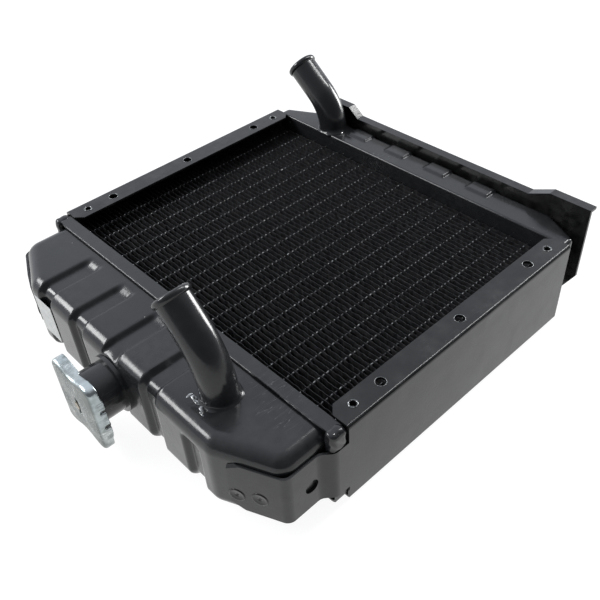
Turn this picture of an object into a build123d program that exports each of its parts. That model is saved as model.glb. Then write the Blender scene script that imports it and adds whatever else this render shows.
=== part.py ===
from build123d import *
import math
import os

# Compact-machine radiator lying on its back, in millimetres.
# +X runs from the top tank to the bottom tank, +Y across the core, +Z out of the front face.
# Shapes are drawn with x = 0 at the side channels' top-tank end and z = 0 at the rear flanges.
# save() then moves them so that the origin is the centre of the part's base.

# Overall frame
WIDTH = 300.0
CHANNEL_LENGTH = 217.5
CHANNEL_HEIGHT = 67.0
FLANGE_WIDTH = 18.0
SHEET = 1.6
BEND_R = 2.4
FLANGE_CHAMFER = 5.5

# Flange holes, measured from the channel's ends and outer face
HOLE_INSET_Y = 10.0
BOLT_HOLE_R = 3.5
BOLT_HOLE_X = 36.3
TAPPED_HOLE_R = 2.1
TAPPED_HOLE_X = 13.5
TAPPED_RIM_R = 3.6
TAPPED_RIM_DEPTH = 2.2

# Straps that carry on from the webs round the top tank's corners
STRAP_Z0 = 12.5
STRAP_Z1 = 53.5
STRAP_PLAN = [(2.0, 0.0), (-10.5, 0.0), (-17.5, 6.0), (-42.0, 6.0), (-57.0, 39.0)]
STRAP_BEND_R = 6.5
STRAP_CLIP = 7.0
STRAP_HOLE_X = -24.0
STRAP_HOLE_Z = 31.0
STRAP_HOLE_R = 4.8

# Core
CORE_Z0 = 12.6
CORE_Z1 = 54.4
TUBE_COLUMNS = 19
TUBE_PITCH = 14.7
TUBE_THICK = 2.0
TUBE_DEPTH = 16.0
TUBE_NOSE = 0.6
TUBE_WALL = 0.4
TUBE_ROW_Z = {"front": 43.8, "rear": 23.2}
TUBE_REACH = 2.5
FIN_COUNT = 55
FIN_THICK = 0.3
FIN_MARGIN = 3.8
FIN_GAP = 0.12
FIN_HALF_Y = 147.9

# Headers
HEADER_GAP = 0.5
HEADER_SHEET = 1.5
HEADER_CORNER_R = 5.0
TOP_HEADER = {"depth": 9.0, "half_y": 148.2, "z0": 1.5, "z1": 65.5}
BOTTOM_HEADER = {"depth": 4.5, "half_y": 144.4, "z0": 3.5, "z1": 63.4}

# Top tank
TANK_SHEET = 1.5
TOP_TANK_END = -60.0
TOP_TANK_OPEN = -2.2
TOP_TANK_Z0 = 3.6
TOP_TANK_Z1 = 63.4
TOP_TANK_HALF_Y = 142.2
TOP_TANK_BEVEL_X = -40.7
TOP_TANK_BEVEL_Y = 99.6
TOP_TANK_CORNER_R = 9.0
TOP_TANK_EDGE_R = 5.0
RIM_HALF_Y = 146.5
RIM_Z0 = 3.1
RIM_Z1 = 63.9
RIM_THICK = 2.0
GROOVE_PITCH = 41.0
GROOVE_WIDTH = 11.0
GROOVE_SLOPE = 3.2
GROOVE_DEPTH = 3.6
GROOVE_END_X = -18.0
FACE_GROOVES = (-1, 0, 1, 2)
END_GROOVES = (-2, -1, 1, 2)
REAR_GROOVES = (-2, -1, 0, 1, 2)
END_FIFTH_TOP = 50.0

# Bottom tank
BOTTOM_TANK_START = 218.1
BOTTOM_TANK_END = 241.9
BOTTOM_TANK_Z0 = 1.9
BOTTOM_TANK_Z1 = 65.0
BOTTOM_TANK_HALF_Y = 146.0
BOTTOM_BEVEL_X = 228.0
BOTTOM_BEVEL_Y = 119.0
BOTTOM_EDGE_R = 2.6
RIB_PITCH = 41.2
RIB_WIDTH = 20.0
RIB_SLOPE = 2.5
RIB_HEIGHT = 1.6
RIB_START_X = 229.0
RIB_PLACES = (-1.5, -0.5, 0.5, 1.5)

# Hose necks
HOSE_R = 11.6
HOSE_WALL = 1.4
INLET = {"rise": 25.0, "run": 48.0, "bend_r": 56.0, "tilt": 45.0}
OUTLET = {"rise": 19.0, "run": 48.0, "bend_r": 38.5, "tilt": 51.5}
BEAD_R = 1.5
BEAD_BACK = 1.7
INLET_XY = (-32.2, -78.5)
OUTLET_XY = (229.6, 90.0)

# Base bracket behind the bottom tank
BRACKET_X = 243.6
BRACKET_SHEET = 2.0
BRACKET_LIP = 5.4
BRACKET_Y0 = -146.5
BRACKET_Y1 = 111.0
BRACKET_Z0 = 6.0
BRACKET_CLIP = (-137.0, 22.5)
BRACKET_LOW_Z = 73.0
BRACKET_EAR_Z = 80.5
BRACKET_EAR_NEAR = (-114.0, -97.0)
BRACKET_EAR_FAR = (74.0, 84.0)
BRACKET_HOLE_R = 4.5
BRACKET_HOLE_Y = 82.4
BRACKET_HOLE_Z = (18.0, 48.0)

# Filler neck, drawn along its own axis: u = 0 at the tank's end face, growing outwards
NECK_Y = 0.0
NECK_Z = 36.0
NECK_R = 17.8
NECK_BORE_R = 16.3
NECK_TOP = 24.9
NECK_ROOT = -2.0
SEAT_R = 10.5
SEAT_U = 10.5
SEAT_THICK = 1.5
LIP_R = 20.5
LIP_THICK = 3.0
RAMP_MID_U = 23.1
RAMP_TILT = 2.864
RAMP_MID_ANGLE = 37.5
LIP_NOTCH_ANGLE = 100.0
LIP_NOTCH_WIDTH = 11.0
COLLAR_R = 20.6
COLLAR_HEIGHT = 2.6
NIPPLE_U = 15.2
NIPPLE_R = 3.2
NIPPLE_BORE_R = 2.2
NIPPLE_END_Z = 4.0

# Cap
CAP_HALF_Z = 27.0
CAP_HALF_Y = 22.5
CAP_SHEET = 1.2
CAP_TOP = 27.6
CAP_SKIRT = 8.4
CAP_CORNER_R = 7.0
SCALLOP_R = 16.0
SCALLOP_DEPTH = 3.4
LUG_TOP = 22.15
LUG_THICK = 1.3
LUG_INNER_R = 18.9
LUG_HALF_WIDTH = 4.6
RIVET_R = 2.0
RIVET_HEAD_R = 2.6
RIVET_HEAD = 0.4
RIVET_TAIL_R = 4.0
RIVET_TAIL = 0.8
RUN_GAP = 0.05
FACE_GAP = 0.02
DISC_R = 19.8
DISC_THICK = 0.55
GASKET_R0 = 15.4
GASKET_R1 = 19.4
BELL_R = 15.0
BELL_SHEET = 0.8
BELL_BOTTOM = 16.5
BELL_WINDOWS = 3
BELL_WINDOW_WIDTH = 9.0
SPRING_R = 11.2
SPRING_WIRE_R = 0.85
SPRING_TURNS = 3.5
PLATE_R = 14.6
PLATE_THICK = 1.1
PLATE_STEM_R = 6.2
PLATE_STEM_TOP = 16.2
PLATE_HOLE_R = 1.9
SEAL_R0 = 8.2
SEAL_THICK = 2.0
VACUUM_DISC_R = 5.6
VACUUM_DISC_THICK = 1.0
VACUUM_STEM_R = 1.5
VACUUM_HEAD_R = 2.9
VACUUM_HEAD_THICK = 0.8
VACUUM_TOP = 20.6
VACUUM_SPRING_R = 2.3
VACUUM_WIRE_R = 0.25
VACUUM_TURNS = 4.0

# Drain plug on the bottom tank's far bevel, drawn along its own axis outwards from the bevel
DRAIN_Z = 33.0
BOSS_R = 8.0
BOSS_BORE_R = 5.04
BOSS_HEIGHT = 4.0
BOSS_ROOT = 3.0
WASHER_R = 7.6
WASHER_THICK = 1.0
PLUG_R = 4.98
PLUG_LENGTH = 11.0
PLUG_HEAD_R = 7.6
PLUG_HEAD = 5.5

# Blank label on the top tank's end face
LABEL_THICK = 0.25
LABEL_Y = (75.0, 98.0)
LABEL_Z = (20.0, 52.0)

PART_MIN_X = TOP_TANK_END - CAP_TOP - RIVET_HEAD
PART_MAX_X = BRACKET_X + BRACKET_SHEET + BRACKET_LIP
ORIGIN_X = (PART_MIN_X + PART_MAX_X) / 2

# Local frame of the neck: X goes to +Z, Y stays +Y and Z points outwards along -X
NECK = Plane(origin=(TOP_TANK_END, NECK_Y, NECK_Z), x_dir=(0, 0, 1), z_dir=(-1, 0, 0)).location


def box(x0, x1, y0, y1, z0, z1):
    """A block between two opposite corners."""
    return Pos((x0 + x1) / 2, (y0 + y1) / 2, (z0 + z1) / 2) * Box(x1 - x0, y1 - y0, z1 - z0)


def disc(r, u0, u1, r_in=0.0):
    """A disc or ring about the local Z axis, between two heights."""
    solid = Pos(0, 0, (u0 + u1) / 2) * Cylinder(r, u1 - u0)
    if r_in:
        solid -= Pos(0, 0, (u0 + u1) / 2) * Cylinder(r_in, u1 - u0 + 2)
    return solid


def bar(plane, points, length):
    """A polygon drawn in a plane and extruded along that plane's normal."""
    return extrude(plane * Polygon(*points, align=None), amount=length, dir=plane.z_dir)


def prism(points, z0, z1):
    """A plan outline extruded between two heights."""
    return Pos(0, 0, z0) * bar(Plane.XY, points, z1 - z0)


def mirrored(points):
    """A half outline on the +Y side closed by its mirror image."""
    return points + [(x, -y) for x, y in reversed(points)]


def coil(r, wire_r, turns, u0, u1):
    """A helical spring about the local Z axis whose wire stays between two heights."""
    rise = u1 - u0 - 2 * wire_r
    path = Helix(pitch=rise / turns, height=rise, radius=r)
    section = Plane(origin=path @ 0, z_dir=path % 0) * Circle(wire_r)
    return Pos(0, 0, u0 + wire_r) * sweep(section, path=path)


def save(node, shape):
    """Write one node in the part's own frame."""
    export_step(Pos(-ORIGIN_X, 0, 0) * shape, f"parts/{node}.step")


def side_channel(side):
    """U-section side channel with its strap; side is -1 or +1 across the core."""
    outer = WIDTH / 2
    u_shape = box(0, CHANNEL_LENGTH, -outer, -outer + FLANGE_WIDTH, 0, CHANNEL_HEIGHT)
    u_shape = fillet(u_shape.edges().filter_by(Axis.X).group_by(Axis.Y)[0], BEND_R)
    hollow = box(
        -1, CHANNEL_LENGTH + 1, -outer + SHEET, -outer + FLANGE_WIDTH + 1, SHEET, CHANNEL_HEIGHT - SHEET
    )
    hollow = fillet(hollow.edges().filter_by(Axis.X).group_by(Axis.Y)[0], BEND_R - SHEET)
    channel = u_shape - hollow
    inner_y = -outer + FLANGE_WIDTH
    for x, way in ((0, 1), (CHANNEL_LENGTH, -1)):
        corner = [(x, inner_y), (x + way * FLANGE_CHAMFER, inner_y), (x, inner_y - FLANGE_CHAMFER)]
        channel -= prism(corner, -1, CHANNEL_HEIGHT + 1)
    hole_y = -outer + HOLE_INSET_Y
    for x in (TAPPED_HOLE_X, CHANNEL_LENGTH - TAPPED_HOLE_X):
        for z, way in ((CHANNEL_HEIGHT, 1), (0, -1)):
            rim_z = z - way * (SHEET + TAPPED_RIM_DEPTH) / 2
            channel += Pos(x, hole_y, rim_z) * Cylinder(TAPPED_RIM_R, SHEET + TAPPED_RIM_DEPTH)
        channel -= Pos(x, hole_y, CHANNEL_HEIGHT / 2) * Cylinder(TAPPED_HOLE_R, CHANNEL_HEIGHT + 2)
    for x in (BOLT_HOLE_X, CHANNEL_LENGTH / 2, CHANNEL_LENGTH - BOLT_HOLE_X):
        channel -= Pos(x, hole_y, CHANNEL_HEIGHT / 2) * Cylinder(BOLT_HOLE_R, CHANNEL_HEIGHT + 2)
    channel += strap()
    return channel if side < 0 else mirror(channel, about=Plane.XZ)


def strap():
    """The near web's narrower tongue, joggled inwards and bent round the tank's corner."""
    outer = WIDTH / 2
    line = [(x, y - outer) for x, y in STRAP_PLAN]
    path = FilletPolyline(*line, radius=STRAP_BEND_R)
    outline = offset(path, amount=SHEET, side=Side.RIGHT)
    if outline.bounding_box().min.Y < -outer - SHEET / 2:
        outline = offset(path, amount=SHEET, side=Side.LEFT)
    tongue = Pos(0, 0, STRAP_Z0) * extrude(make_face(outline), amount=STRAP_Z1 - STRAP_Z0)
    end_x = STRAP_PLAN[-1][0]
    for z, way in ((STRAP_Z1, -1), (STRAP_Z0, 1)):
        clip = [(end_x - SHEET, z), (end_x + STRAP_CLIP / 2, z), (end_x - SHEET, z + way * STRAP_CLIP)]
        wedge = extrude(Plane.XZ * Polygon(*clip, align=None), amount=WIDTH, both=True)
        tongue -= wedge
    return tongue - Pos(STRAP_HOLE_X, 0, STRAP_HOLE_Z) * Rot(90, 0, 0) * Cylinder(STRAP_HOLE_R, 2 * WIDTH)


def tube_outline(grow=0.0):
    """Flat tube section in the YZ plane with clipped noses, centred."""
    half_y = TUBE_THICK / 2 + grow
    half_z = TUBE_DEPTH / 2 + grow
    nose = TUBE_NOSE
    return [
        (-half_y, -half_z + nose), (-half_y + nose, -half_z), (half_y - nose, -half_z),
        (half_y, -half_z + nose), (half_y, half_z - nose), (half_y - nose, half_z),
        (-half_y + nose, half_z), (-half_y, half_z - nose),
    ]


def tube_places(rows):
    """Centres of the flat tubes in the YZ plane."""
    first = -(TUBE_COLUMNS - 1) / 2 * TUBE_PITCH
    return [(first + column * TUBE_PITCH, z) for z in rows for column in range(TUBE_COLUMNS)]


def tube_row(row):
    """One row of flat tubes, each a separate hollow solid."""
    x0 = -HEADER_GAP - HEADER_SHEET - TUBE_REACH
    x1 = CHANNEL_LENGTH + HEADER_GAP + HEADER_SHEET + TUBE_REACH
    section = Polygon(*tube_outline(), align=None) - Polygon(*tube_outline(-TUBE_WALL), align=None)
    tube = extrude(Plane.YZ * section, amount=x1 - x0, dir=(1, 0, 0))
    places = tube_places([TUBE_ROW_Z[row]])
    return Compound(children=[Pos(x0, y, z) * tube for y, z in places])


def fin_plate():
    """One plate across the core, with one long slot for each column of tubes."""
    sheet = Pos(0, (CORE_Z0 + CORE_Z1) / 2) * Rectangle(2 * FIN_HALF_Y, CORE_Z1 - CORE_Z0)
    top = max(TUBE_ROW_Z.values()) + TUBE_DEPTH / 2 + FIN_GAP
    bottom = min(TUBE_ROW_Z.values()) - TUBE_DEPTH / 2 - FIN_GAP
    slot = Rectangle(TUBE_THICK + 2 * FIN_GAP, top - bottom)
    slots = [Pos(y, z) * slot for y, z in tube_places([(top + bottom) / 2])]
    return extrude(Plane.YZ * (sheet - slots), amount=FIN_THICK, dir=(1, 0, 0))


def cooling_fins():
    """The stack of thin plates the tubes pass through, each a separate solid."""
    plate = fin_plate()
    pitch = (CHANNEL_LENGTH - 2 * FIN_MARGIN - FIN_THICK) / (FIN_COUNT - 1)
    return Compound(children=[Pos(FIN_MARGIN + i * pitch, 0, 0) * plate for i in range(FIN_COUNT)])


def header(start_x, way, depth, half_y, z0, z1):
    """Stamped tray with tube slots; its walls reach from start_x along way."""
    x0, x1 = sorted((start_x, start_x + way * depth))
    tray = box(x0, x1, -half_y, half_y, z0, z1)
    tray = fillet(tray.edges().filter_by(Axis.X), HEADER_CORNER_R)
    step = way * HEADER_SHEET
    wall = HEADER_SHEET
    hx0, hx1 = sorted((start_x + step, start_x + way * (depth + 1)))
    hollow = box(hx0, hx1, -half_y + wall, half_y - wall, z0 + wall, z1 - wall)
    tray -= fillet(hollow.edges().filter_by(Axis.X), HEADER_CORNER_R - wall)
    slots = [Pos(y, z) * Polygon(*tube_outline(FIN_GAP / 4), align=None)
             for y, z in tube_places(TUBE_ROW_Z.values())]
    cutter = extrude(Plane.YZ * Sketch(children=slots), amount=4 * HEADER_SHEET, both=True)
    x, y = OUTLET_XY
    tray -= Pos(x, y, z1) * Cylinder(HOSE_R, 4 * wall)
    return tray - Pos(start_x, 0, 0) * cutter


def trapezium(centre, base, top, floor, grow):
    """Section of a groove or rib: wide at top, narrow at floor; the second coordinate is depth."""
    narrow = base / 2 + grow
    wide = narrow + abs(top - floor) / GROOVE_DEPTH * GROOVE_SLOPE
    return [(centre - narrow, floor), (centre + narrow, floor), (centre + wide, top), (centre - wide, top)]


def top_tank_block(inset):
    """Top tank's outside shape, or with an inset the shape of its cavity."""
    half_y = TOP_TANK_HALF_Y - inset
    end_x = TOP_TANK_END + inset
    z0, z1 = TOP_TANK_Z0 + inset, TOP_TANK_Z1 - inset
    open_x = TOP_TANK_OPEN + (5 if inset else 0)
    plan = mirrored([
        (open_x, half_y), (TOP_TANK_BEVEL_X, half_y), (end_x, TOP_TANK_BEVEL_Y),
    ])
    block = prism(plan, z0, z1)
    corners = [e for e in block.edges().filter_by(Axis.Z) if e.center().X < TOP_TANK_BEVEL_X + 1]
    block = fillet(corners, TOP_TANK_CORNER_R)
    faces = block.faces().filter_by(Axis.Z)
    rims = [e for f in faces for e in f.edges() if e.center().X < open_x - 1]
    block = fillet(rims, TOP_TANK_EDGE_R - inset)
    far = TOP_TANK_END - 20
    reach = GROOVE_DEPTH + 20
    for place in FACE_GROOVES:
        y = place * GROOVE_PITCH
        section = trapezium(y, GROOVE_WIDTH, z1 + 20, z1 - GROOVE_DEPTH, inset)
        block -= Pos(far, 0, 0) * bar(Plane.YZ, section, GROOVE_END_X + inset - far)
    for place in REAR_GROOVES:
        y = place * GROOVE_PITCH
        section = trapezium(y, GROOVE_WIDTH, z0 - 20, z0 + GROOVE_DEPTH, inset)
        block -= Pos(far, 0, 0) * bar(Plane.YZ, section, GROOVE_END_X + inset - far)
    for place in END_GROOVES:
        y = place * GROOVE_PITCH
        section = [(x, v) for v, x in trapezium(y, GROOVE_WIDTH, end_x - 20, end_x + GROOVE_DEPTH, inset)]
        top = END_FIFTH_TOP + inset if place == END_GROOVES[0] else z1 + 20
        block -= Pos(0, 0, -reach) * bar(Plane.XY, section, top + reach)
    return block


def top_tank():
    """Deep-drawn tank shell with a rim for the header and holes for both necks."""
    shell = top_tank_block(0) - top_tank_block(TANK_SHEET)
    rim = box(TOP_TANK_OPEN - RIM_THICK, TOP_TANK_OPEN, -RIM_HALF_Y, RIM_HALF_Y, RIM_Z0, RIM_Z1)
    rim = fillet(rim.edges().filter_by(Axis.X), HEADER_CORNER_R - HEADER_SHEET - 0.5)
    inner_y = TOP_TANK_HALF_Y - TANK_SHEET
    rim -= box(-10, 5, -inner_y, inner_y, TOP_TANK_Z0 + TANK_SHEET, TOP_TANK_Z1 - TANK_SHEET)
    shell += rim
    shell -= NECK * Cylinder(NECK_R, 40)
    x, y = INLET_XY
    return shell - Pos(x, y, TOP_TANK_Z1) * Cylinder(HOSE_R, 20)


def bottom_tank_block(inset):
    """Bottom tank's outside shape, or with an inset the shape of its cavity."""
    half_y = BOTTOM_TANK_HALF_Y - inset
    end_x = BOTTOM_TANK_END - inset
    z0, z1 = BOTTOM_TANK_Z0 + inset, BOTTOM_TANK_Z1 - inset
    start = BOTTOM_TANK_START - (5 if inset else 0)
    plan = mirrored([(start, half_y), (BOTTOM_BEVEL_X, half_y), (end_x, BOTTOM_BEVEL_Y)])
    block = prism(plan, z0, z1)
    faces = block.faces().filter_by(Axis.Z)
    rims = [e for f in faces for e in f.edges() if e.center().X > start + 1]
    block = fillet(rims, BOTTOM_EDGE_R - inset)
    height = RIB_HEIGHT
    for place in RIB_PLACES:
        y = place * RIB_PITCH
        rib = box(
            RIB_START_X + inset, end_x + height,
            y - RIB_WIDTH / 2 + inset, y + RIB_WIDTH / 2 - inset, z0 - height, z1 + height,
        )
        block += chamfer(rib.edges().filter_by(Axis.X), RIB_HEIGHT * 0.6)
    return block


def bottom_tank():
    """Bottom tank shell, its skirt round the header, with holes for the outlet and drain."""
    shell = bottom_tank_block(0) - bottom_tank_block(TANK_SHEET)
    x, y = OUTLET_XY
    shell -= Pos(x, y, BOTTOM_TANK_Z1) * Cylinder(HOSE_R, 12)
    return shell - drain_frame() * disc(BOSS_R, -10, 10)


def hose_path(bend, x, y, z):
    """Centre line of a hose neck: straight up, then bent over towards +Y."""
    tilt = math.radians(bend["tilt"])
    corner = (x, y, z + bend["rise"])
    end = (x, y + bend["run"] * math.sin(tilt), corner[2] + bend["run"] * math.cos(tilt))
    return FilletPolyline((x, y, z), corner, end, radius=bend["bend_r"]), end


def hose_neck(bend, place, face_z):
    """Bent hose neck let into a tank face, with a rolled bead at its mouth."""
    x, y = place
    root = face_z - TANK_SHEET
    path, end = hose_path(bend, x, y, root)
    mouth = Plane(origin=end, x_dir=(1, 0, 0), z_dir=path % 1)
    outside = sweep(Plane(origin=(x, y, root), z_dir=(0, 0, 1)) * Circle(HOSE_R), path=path)
    bore = sweep(Plane(origin=(x, y, root), z_dir=(0, 0, 1)) * Circle(HOSE_R - HOSE_WALL), path=path)
    bead = mouth.location * Pos(0, 0, -BEAD_BACK) * Torus(HOSE_R - 0.3, BEAD_R)
    bead -= mouth.location * Pos(0, 0, -BEAD_BACK) * Cylinder(HOSE_R - HOSE_WALL / 2, 10)
    return (outside - bore) + bead


def bracket_edge(drop):
    """Points along the base bracket's top edge, raised into an ear at each end."""
    a0, a1 = BRACKET_EAR_NEAR
    b0, b1 = BRACKET_EAR_FAR
    high, low = BRACKET_EAR_Z - drop, BRACKET_LOW_Z - drop
    return [(BRACKET_Y0, high), (a0, high), (a1, low), (b0, low), (b1, high), (BRACKET_Y1, high)]


def base_bracket():
    """Pressed rail behind the bottom tank, with lips turned outwards at its long edges."""
    top = bracket_edge(0)
    clip_y, clip_z = BRACKET_CLIP
    web = top + [(BRACKET_Y1, BRACKET_Z0), (clip_y, BRACKET_Z0), (BRACKET_Y0, clip_z)]
    rail = Pos(BRACKET_X, 0, 0) * bar(Plane.YZ, web, BRACKET_SHEET)
    lip_depth = BRACKET_SHEET + BRACKET_LIP
    lip = top + list(reversed(bracket_edge(BRACKET_SHEET)))
    rail += Pos(BRACKET_X, 0, 0) * bar(Plane.YZ, lip, lip_depth)
    rail += box(
        BRACKET_X, BRACKET_X + lip_depth, clip_y, BRACKET_Y1, BRACKET_Z0, BRACKET_Z0 + BRACKET_SHEET
    )
    for y in (-BRACKET_HOLE_Y, BRACKET_HOLE_Y):
        for z in BRACKET_HOLE_Z:
            rail -= Pos(BRACKET_X, y, z) * Rot(0, 90, 0) * Cylinder(BRACKET_HOLE_R, 4 * BRACKET_SHEET)
    return rail


def filler_neck():
    """Filler neck with its inner pressure seat and the two ramped lips the cap locks under."""
    tube = disc(NECK_R, NECK_ROOT, NECK_TOP, NECK_BORE_R)
    tube += disc(NECK_R - 0.5, SEAT_U - SEAT_THICK, SEAT_U, SEAT_R)
    ring = disc(LIP_R, NECK_TOP - LIP_THICK, NECK_TOP, NECK_BORE_R)
    for turn in (0, 180):
        half = Rot(0, 0, RAMP_MID_ANGLE + 90 + turn)
        wedge = Pos(0, 0, RAMP_MID_U) * Rot(RAMP_TILT, 0, 0) * Pos(30, 0, -10)
        below = half * wedge * Box(60, 80, 20)
        ring -= below - disc(NECK_R, -20, 60)
    for turn in (0, 180):
        notch = Pos(LIP_R, 0, NECK_TOP) * Box(2 * (LIP_R - NECK_R - 0.3), LIP_NOTCH_WIDTH, 20)
        ring -= Rot(0, 0, LIP_NOTCH_ANGLE + 90 + turn) * notch
    neck = NECK * (tube + ring)
    hole_x = TOP_TANK_END - NIPPLE_U
    return neck - Pos(hole_x, NECK_Y, NECK_Z - NECK_R) * Cylinder(NIPPLE_R, 12)


def overflow_nipple():
    """Small outlet on the neck's rear side, between the pressure seat and the rim."""
    top = NECK_Z - NECK_BORE_R - 0.3
    tube = Pos(TOP_TANK_END - NIPPLE_U, NECK_Y, 0) * disc(NIPPLE_R, NIPPLE_END_Z, top, NIPPLE_BORE_R)
    ring = Pos(TOP_TANK_END - NIPPLE_U, NECK_Y, NIPPLE_END_Z + 2.0) * Torus(NIPPLE_R - 0.2, 0.6)
    ring -= Pos(TOP_TANK_END - NIPPLE_U, NECK_Y, NIPPLE_END_Z + 2.0) * Cylinder(NIPPLE_R - 0.3, 4)
    return tube + ring


def cap_outline(inset):
    """Cap plate outline with a shallow scallop in each short side."""
    half_z, half_y = CAP_HALF_Z - inset, CAP_HALF_Y - inset
    sketch = RectangleRounded(2 * half_z, 2 * half_y, CAP_CORNER_R - inset)
    for way in (-1, 1):
        centre = CAP_HALF_Z - SCALLOP_DEPTH + SCALLOP_R
        sketch -= Pos(way * centre, 0) * Circle(SCALLOP_R + inset)
    return sketch


def cap_shell():
    """Pressed cap shell: plate, skirt and the two lugs that hook under the neck's lips."""
    outside = Pos(0, 0, CAP_TOP - CAP_SKIRT) * extrude(cap_outline(0), amount=CAP_SKIRT)
    hollow = Pos(0, 0, CAP_TOP - CAP_SKIRT - 1) * extrude(cap_outline(CAP_SHEET), amount=CAP_SKIRT + 1 - CAP_SHEET)
    shell = outside - hollow
    for way in (-1, 1):
        y0, y1 = sorted((way * LUG_INNER_R, way * (CAP_HALF_Y - CAP_SHEET / 2)))
        shell += box(-LUG_HALF_WIDTH, LUG_HALF_WIDTH, y0, y1, LUG_TOP - LUG_THICK, LUG_TOP)
    return NECK * (shell - disc(RIVET_R + RUN_GAP, 0, CAP_TOP + 5))


def cap_rivet():
    """Rivet that holds the valve parts under the shell and lets the shell turn."""
    plate_under = CAP_TOP - CAP_SHEET - RUN_GAP - DISC_THICK
    tail = plate_under - BELL_SHEET
    rivet = disc(RIVET_R, tail, CAP_TOP + FACE_GAP) + disc(RIVET_HEAD_R, CAP_TOP + FACE_GAP, CAP_TOP + RIVET_HEAD)
    return NECK * (rivet + disc(RIVET_TAIL_R, tail - RIVET_TAIL, tail))


def cap_spring_disc():
    """Thin springy disc between the shell and the rubber ring."""
    top = CAP_TOP - CAP_SHEET - RUN_GAP
    return NECK * disc(DISC_R, top - DISC_THICK, top, RIVET_R)


def cap_top_gasket():
    """Rubber ring that seals the neck's rim."""
    top = CAP_TOP - CAP_SHEET - RUN_GAP - DISC_THICK
    return NECK * disc(GASKET_R1, NECK_TOP + FACE_GAP, top, GASKET_R0)


def cap_bell():
    """Open cage that guides the valve plate and backs the pressure spring."""
    top = CAP_TOP - CAP_SHEET - RUN_GAP - DISC_THICK
    bell = disc(BELL_R, BELL_BOTTOM, top) - disc(BELL_R - BELL_SHEET, BELL_BOTTOM - 1, top - BELL_SHEET)
    mid = (BELL_BOTTOM + top) / 2
    for i in range(BELL_WINDOWS):
        window = Pos(BELL_R, 0, mid - 0.5) * Box(8, BELL_WINDOW_WIDTH, top - BELL_BOTTOM - 4)
        bell -= Rot(0, 0, 360 / BELL_WINDOWS * i) * window
    return NECK * (bell - disc(RIVET_R, 0, top + 5))


def pressure_plate():
    """Valve plate pushed on to the neck's seat, with a raised guide for the vacuum valve."""
    base = SEAT_U + FACE_GAP + SEAL_THICK
    plate = disc(PLATE_R, base, base + PLATE_THICK) + disc(PLATE_STEM_R, base, PLATE_STEM_TOP)
    return NECK * (plate - disc(PLATE_HOLE_R, 0, PLATE_STEM_TOP + 5))


def pressure_gasket():
    """Rubber ring between the valve plate and the neck's seat."""
    return NECK * disc(PLATE_R, SEAT_U + FACE_GAP, SEAT_U + FACE_GAP + SEAL_THICK, SEAL_R0)


def pressure_spring():
    """Coil spring between the bell and the valve plate."""
    base = SEAT_U + FACE_GAP + SEAL_THICK + PLATE_THICK
    top = CAP_TOP - CAP_SHEET - RUN_GAP - DISC_THICK - BELL_SHEET
    return NECK * coil(SPRING_R, SPRING_WIRE_R, SPRING_TURNS, base, top)


def vacuum_valve():
    """Small valve that opens inwards through the middle of the pressure plate."""
    under = SEAT_U + FACE_GAP + SEAL_THICK - FACE_GAP
    valve = disc(VACUUM_DISC_R, under - VACUUM_DISC_THICK, under)
    valve += disc(VACUUM_STEM_R, under, VACUUM_TOP)
    return NECK * (valve + disc(VACUUM_HEAD_R, VACUUM_TOP - VACUUM_HEAD_THICK, VACUUM_TOP))


def vacuum_spring():
    """Light coil spring that pulls the vacuum valve shut."""
    return NECK * coil(
        VACUUM_SPRING_R, VACUUM_WIRE_R, VACUUM_TURNS, PLATE_STEM_TOP, VACUUM_TOP - VACUUM_HEAD_THICK
    )


def drain_frame():
    """Local frame on the far bevel of the bottom tank, Z pointing outwards."""
    run = (BOTTOM_TANK_END - BOTTOM_BEVEL_X, BOTTOM_BEVEL_Y - BOTTOM_TANK_HALF_Y)
    length = math.hypot(*run)
    middle = ((BOTTOM_TANK_END + BOTTOM_BEVEL_X) / 2, (BOTTOM_BEVEL_Y + BOTTOM_TANK_HALF_Y) / 2, DRAIN_Z)
    normal = (-run[1] / length, run[0] / length, 0)
    return Plane(origin=middle, x_dir=(0, 0, 1), z_dir=normal).location


def drain_boss():
    """Threaded boss set into the bottom tank's bevel."""
    return drain_frame() * disc(BOSS_R, -BOSS_ROOT, BOSS_HEIGHT, BOSS_BORE_R)


def drain_washer():
    """Sealing washer under the plug's head."""
    base = BOSS_HEIGHT + FACE_GAP
    return drain_frame() * disc(WASHER_R, base, base + WASHER_THICK - 2 * FACE_GAP, BOSS_BORE_R)


def drain_plug():
    """Hexagon-headed screw plug."""
    head_base = BOSS_HEIGHT + WASHER_THICK
    head = Pos(0, 0, head_base) * extrude(RegularPolygon(PLUG_HEAD_R, 6), amount=PLUG_HEAD)
    return drain_frame() * (head + disc(PLUG_R, head_base - PLUG_LENGTH, head_base))


def blank_label():
    """Plain pale label strip on the top tank's end face."""
    return box(TOP_TANK_END - LABEL_THICK, TOP_TANK_END, *LABEL_Y, *LABEL_Z)


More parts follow.
